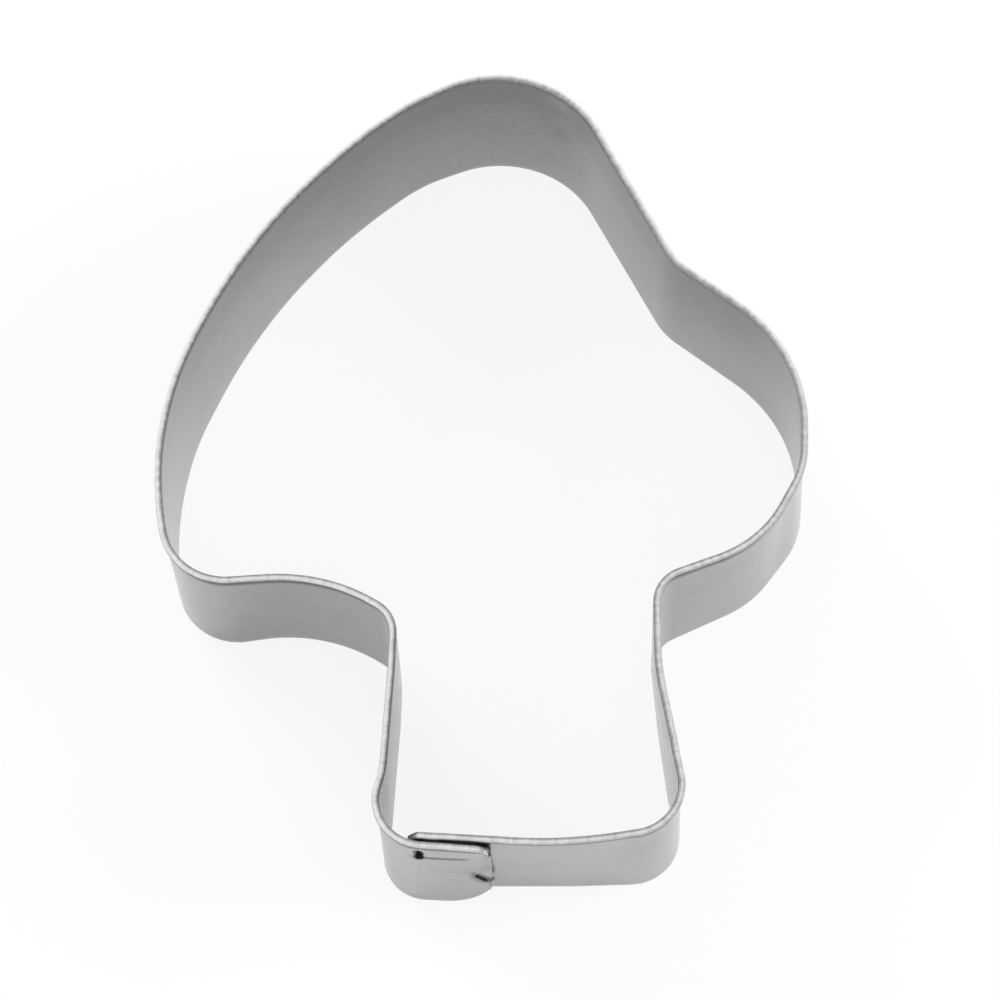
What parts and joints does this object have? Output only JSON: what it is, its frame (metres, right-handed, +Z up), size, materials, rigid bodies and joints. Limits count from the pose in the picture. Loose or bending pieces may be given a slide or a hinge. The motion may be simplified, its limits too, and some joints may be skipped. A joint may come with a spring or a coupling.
{
  "type": "cookie cutter",
  "caption": "Mushroom-shaped cookie cutter bent from a thin steel strip, with a rolled upper rim to press on, a plain lower cutting edge and a spot-welded lap at the foot.",
  "frame": {"origin": "centre of the outline's bounding box, on the plane of the cutting edge", "axes": "+Z up from the cutting edge to the rolled rim, +Y from the foot of the stalk to the crown of the cap, +X to the right lip of the cap"},
  "size_m": [0.0725, 0.0931, 0.02],
  "materials": {
    "strip_steel": "satin bright sheet steel, as rolled, with fine handling marks",
    "weld_steel": "fused steel, dull"
  },
  "bodies": {
    "root": {"cutter_band": "strip_steel", "spot_weld_upper": "weld_steel", "spot_weld_lower": "weld_steel"}
  },
  "joints": []
}
